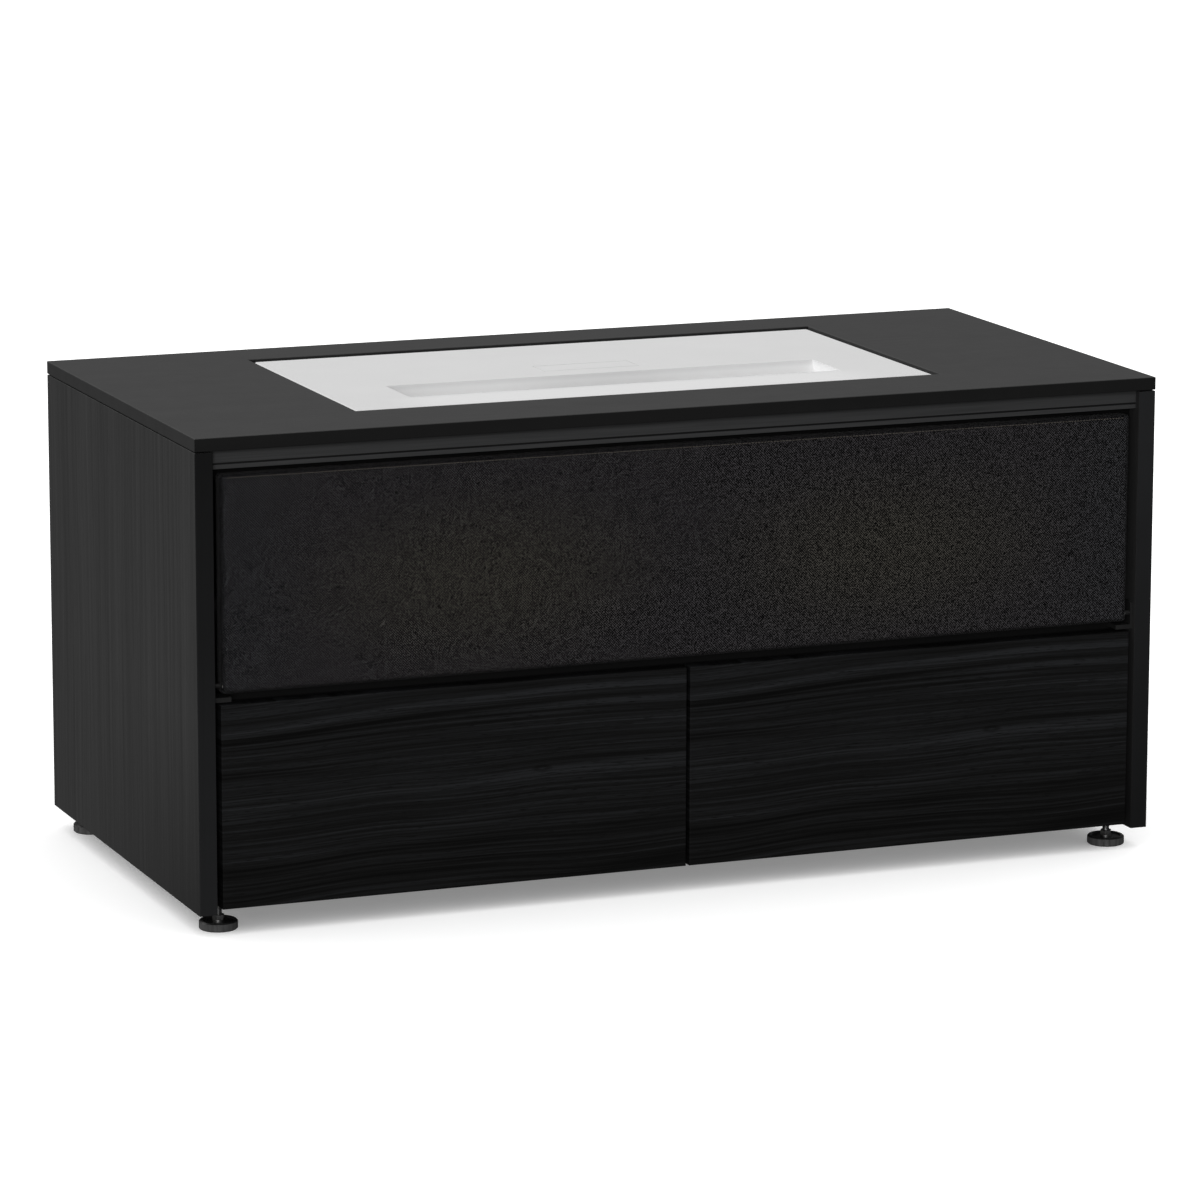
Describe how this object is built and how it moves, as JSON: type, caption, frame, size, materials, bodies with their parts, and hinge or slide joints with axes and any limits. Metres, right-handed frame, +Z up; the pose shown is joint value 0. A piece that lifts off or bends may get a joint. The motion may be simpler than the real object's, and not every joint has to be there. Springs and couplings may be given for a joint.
{
  "type": "media cabinet",
  "caption": "Low black media cabinet with a well for a short-throw projector in its top, a drop-down cloth grille, drawers below and levelling feet.",
  "frame": {"origin": "floor level under the middle of the cabinet's plan", "axes": "+Z up, +X to the right along the width, -Y towards the front with the grille and drawers"},
  "size_m": [1.11, 0.541, 0.534],
  "materials": {
    "black_laminate": "satin",
    "black_veneer": "satin",
    "side_veneer": "satin",
    "black_board": "matte",
    "birch_board": "satin",
    "black_anodised": "satin",
    "zinc_steel": "satin",
    "black_steel": "satin",
    "magnet_alloy": "matte",
    "speaker_cloth": "matte",
    "foam_rubber": "matte",
    "foot_plastic": "satin",
    "black_plastic": "satin",
    "nylon": "satin",
    "white_case": "satin",
    "smoked_glass": "polished",
    "coated_mirror": "polished"
  },
  "bodies": {
    "cabinet": {"top_panel": "black_laminate", "top_gaskets": "foam_rubber", "door_seal": "foam_rubber", "side_panel_right": "side_veneer", "side_panel_left": "side_veneer", "bottom_panel": "black_board", "middle_shelf": "black_board", "centre_divider": "black_board", "rear_panel_lower": "black_board", "rear_panel_upper": "black_board", "rear_panel_screws": "black_steel", "cable_grommets": "black_plastic", "front_rail": "black_anodised", "rear_rail": "black_anodised", "cross_rails": "black_steel", "top_screws": "zinc_steel", "projector_tray": "black_steel", "tray_hangers": "black_steel", "hanger_bolts": "zinc_steel", "cam_bolts": "zinc_steel", "cam_locks": "zinc_steel", "foot_inserts": "zinc_steel", "pivot_brackets": "black_steel", "catch_housings": "black_plastic", "catch_magnets": "magnet_alloy", "slide_cabinet_members": "zinc_steel", "slide_screws": "zinc_steel"},
    "grille_door": {"grille_frame": "black_board", "grille_cloth": "speaker_cloth", "cloth_spline": "foam_rubber", "pivot_bushings": "nylon", "strike_plates": "zinc_steel"},
    "drawer_left": {"drawer_left_front": "black_veneer", "drawer_left_box": "birch_board", "drawer_left_bottom": "birch_board", "drawer_left_runners": "zinc_steel"},
    "drawer_right": {"drawer_right_front": "black_veneer", "drawer_right_box": "birch_board", "drawer_right_bottom": "birch_board", "drawer_right_runners": "zinc_steel"},
    "slide_middle_left": {"slide_left_middle": "zinc_steel", "slide_left_ball_cages": "nylon"},
    "slide_middle_right": {"slide_right_middle": "zinc_steel", "slide_right_ball_cages": "nylon"},
    "projector": {"projector_upper_case": "white_case", "projector_lower_case": "white_case", "projector_exit_glass": "smoked_glass", "projector_control_plate": "white_case", "projector_port_panel": "black_plastic", "projector_feet": "foam_rubber", "projector_mirror": "coated_mirror", "projector_lens": "black_plastic"},
    "power_button": {"projector_power_button": "white_case"},
    "pad_front_left": {"foot_front_left_pad": "foot_plastic"},
    "stem_front_left": {"foot_front_left_stem": "zinc_steel"},
    "pad_front_right": {"foot_front_right_pad": "foot_plastic"},
    "stem_front_right": {"foot_front_right_stem": "zinc_steel"},
    "pad_back_left": {"foot_back_left_pad": "foot_plastic"},
    "stem_back_left": {"foot_back_left_stem": "zinc_steel"},
    "pad_back_right": {"foot_back_right_pad": "foot_plastic"},
    "stem_back_right": {"foot_back_right_stem": "zinc_steel"}
  },
  "joints": [
    {"name": "grille_hinge", "type": "hinge", "parent": "cabinet", "child": "grille_door", "pos_m": [0, -0.259, 0.2685], "axis": [1, 0, 0], "range_deg": [0, 90]},
    {"name": "drawer_left_slide", "type": "slide", "parent": "cabinet", "child": "drawer_left", "axis": [0, -1, 0], "range_m": [0, 0.4]},
    {"name": "drawer_right_slide", "type": "slide", "parent": "cabinet", "child": "drawer_right", "axis": [0, -1, 0], "range_m": [0, 0.4]},
    {"name": "slide_left_middle_travel", "type": "slide", "parent": "cabinet", "child": "slide_middle_left", "axis": [0, -1, 0], "range_m": [0, 0.2]},
    {"name": "slide_right_middle_travel", "type": "slide", "parent": "cabinet", "child": "slide_middle_right", "axis": [0, -1, 0], "range_m": [0, 0.2]},
    {"name": "projector_lift", "type": "slide", "parent": "cabinet", "child": "projector", "axis": [0, 0, 1], "range_m": [0, 0.14]},
    {"name": "power_button_press", "type": "slide", "parent": "projector", "child": "power_button", "axis": [0, -1, 0], "range_m": [0, 0.0012], "stiffness_N_per_m": 400, "springref_m": -0.001},
    {"name": "foot_front_left_height", "type": "slide", "parent": "cabinet", "child": "pad_front_left", "axis": [0, 0, 1], "range_m": [-0.01, 0.008]},
    {"name": "foot_front_left_turn", "type": "hinge", "parent": "pad_front_left", "child": "stem_front_left", "pos_m": [-0.523, -0.2335, 0.02], "axis": [0, 0, 1], "range_deg": [-2880, 2304]},
    {"name": "foot_front_right_height", "type": "slide", "parent": "cabinet", "child": "pad_front_right", "axis": [0, 0, 1], "range_m": [-0.01, 0.008]},
    {"name": "foot_front_right_turn", "type": "hinge", "parent": "pad_front_right", "child": "stem_front_right", "pos_m": [0.523, -0.2335, 0.02], "axis": [0, 0, 1], "range_deg": [-2880, 2304]},
    {"name": "foot_back_left_height", "type": "slide", "parent": "cabinet", "child": "pad_back_left", "axis": [0, 0, 1], "range_m": [-0.01, 0.008]},
    {"name": "foot_back_left_turn", "type": "hinge", "parent": "pad_back_left", "child": "stem_back_left", "pos_m": [-0.523, 0.2305, 0.02], "axis": [0, 0, 1], "range_deg": [-2880, 2304]},
    {"name": "foot_back_right_height", "type": "slide", "parent": "cabinet", "child": "pad_back_right", "axis": [0, 0, 1], "range_m": [-0.01, 0.008]},
    {"name": "foot_back_right_turn", "type": "hinge", "parent": "pad_back_right", "child": "stem_back_right", "pos_m": [0.523, 0.2305, 0.02], "axis": [0, 0, 1], "range_deg": [-2880, 2304]}
  ],
  "couplings": [
    {"joint": "slide_left_middle_travel", "follows": "drawer_left_slide", "ratio": 0.5},
    {"joint": "slide_right_middle_travel", "follows": "drawer_right_slide", "ratio": 0.5},
    {"joint": "foot_front_left_turn", "follows": "foot_front_left_height", "rad_per_m": 5026.5},
    {"joint": "foot_front_right_turn", "follows": "foot_front_right_height", "rad_per_m": 5026.5},
    {"joint": "foot_back_left_turn", "follows": "foot_back_left_height", "rad_per_m": 5026.5},
    {"joint": "foot_back_right_turn", "follows": "foot_back_right_height", "rad_per_m": 5026.5}
  ]
}
